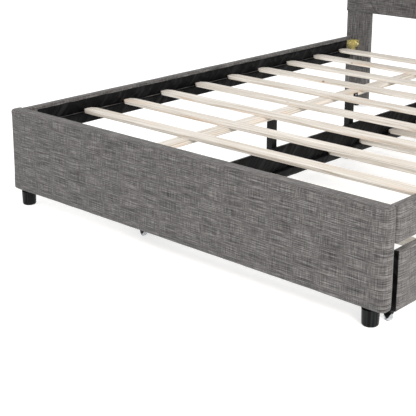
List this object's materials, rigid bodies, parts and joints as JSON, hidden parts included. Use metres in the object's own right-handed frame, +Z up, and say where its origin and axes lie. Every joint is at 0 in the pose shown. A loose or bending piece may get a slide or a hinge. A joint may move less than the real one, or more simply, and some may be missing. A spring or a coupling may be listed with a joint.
{
  "type": "upholstered platform bed with trundle",
  "caption": "Upholstered platform bed with a padded headboard and footboard, slatted base, and a full-length slatted trundle that rolls out from one side.",
  "frame": {"origin": "on the floor, under the middle of the width and length of the whole bed", "axes": "+Z up, +Y from the footboard to the headboard, +X towards the side that the trundle pulls out to"},
  "size_m": [1.644, 2.131, 1.1],
  "materials": {
    "grey_linen": "slubbed grey linen weave",
    "black_lining": "black non-woven lining",
    "pine": "planed unfinished pine",
    "black_plastic": "moulded black plastic",
    "clear_plastic": "pale translucent plastic",
    "yellow_zinc": "yellow passivated zinc plating",
    "black_steel": "black powder coat"
  },
  "bodies": {
    "bed_frame": {"footboard": "grey_linen", "footboard_foot_left": "black_plastic", "side_rail_left": "grey_linen", "slat_ledge_left": "black_lining", "headboard_post_left": "grey_linen", "post_glide_left": "black_plastic", "corner_bracket_foot_left": "yellow_zinc", "corner_bolt_foot_left": "yellow_zinc", "corner_bracket_head_left": "yellow_zinc", "corner_bolt_head_left": "yellow_zinc", "footboard_foot_right": "black_plastic", "side_rail_right": "grey_linen", "slat_ledge_right": "black_lining", "headboard_post_right": "grey_linen", "post_glide_right": "black_plastic", "corner_bracket_foot_right": "yellow_zinc", "corner_bolt_foot_right": "yellow_zinc", "corner_bracket_head_right": "yellow_zinc", "corner_bolt_head_right": "yellow_zinc", "headboard_panel": "grey_linen", "support_rail": "pine", "support_leg_1": "black_steel", "support_leg_2": "black_steel", "support_leg_3": "black_steel", "support_leg_4": "black_steel", "bed_slat_01": "pine", "bed_slat_02": "pine", "bed_slat_03": "pine", "bed_slat_04": "pine", "bed_slat_05": "pine", "bed_slat_06": "pine", "bed_slat_07": "pine", "bed_slat_08": "pine", "bed_slat_09": "pine", "bed_slat_10": "pine"},
    "trundle": {"trundle_front_panel": "grey_linen", "trundle_back_board": "black_lining", "trundle_foot_board": "black_lining", "trundle_head_board": "black_lining", "trundle_ledge_back": "black_lining", "trundle_ledge_front": "black_lining", "trundle_slat_1": "pine", "trundle_slat_2": "pine", "trundle_slat_3": "pine", "trundle_slat_4": "pine", "trundle_slat_5": "pine", "trundle_slat_6": "pine", "trundle_slat_7": "pine", "trundle_slat_8": "pine", "trundle_slat_9": "pine", "caster_housing_foot_front": "black_plastic", "caster_housing_foot_back": "black_plastic", "caster_housing_head_front": "black_plastic", "caster_housing_head_back": "black_plastic"},
    "wheel_foot_front": {"caster_wheel_foot_front": "clear_plastic"},
    "wheel_foot_back": {"caster_wheel_foot_back": "clear_plastic"},
    "wheel_head_front": {"caster_wheel_head_front": "clear_plastic"},
    "wheel_head_back": {"caster_wheel_head_back": "clear_plastic"}
  },
  "joints": [
    {"name": "trundle_slide", "type": "slide", "parent": "bed_frame", "child": "trundle", "axis": [1, 0, 0], "range_m": [0, 1]},
    {"name": "wheel_foot_front_roll", "type": "hinge", "parent": "trundle", "child": "wheel_foot_front", "pos_m": [0.777, -0.98, 0.013], "axis": [0, 1, 0], "continuous": true},
    {"name": "wheel_foot_back_roll", "type": "hinge", "parent": "trundle", "child": "wheel_foot_back", "pos_m": [-0.2065, -0.98, 0.013], "axis": [0, 1, 0], "continuous": true},
    {"name": "wheel_head_front_roll", "type": "hinge", "parent": "trundle", "child": "wheel_head_front", "pos_m": [0.777, 1.002, 0.013], "axis": [0, 1, 0], "continuous": true},
    {"name": "wheel_head_back_roll", "type": "hinge", "parent": "trundle", "child": "wheel_head_back", "pos_m": [-0.2065, 1.002, 0.013], "axis": [0, 1, 0], "continuous": true}
  ],
  "couplings": [
    {"joint": "wheel_foot_front_roll", "follows": "trundle_slide", "rad_per_m": 76.923},
    {"joint": "wheel_foot_back_roll", "follows": "trundle_slide", "rad_per_m": 76.923},
    {"joint": "wheel_head_front_roll", "follows": "trundle_slide", "rad_per_m": 76.923},
    {"joint": "wheel_head_back_roll", "follows": "trundle_slide", "rad_per_m": 76.923}
  ]
}
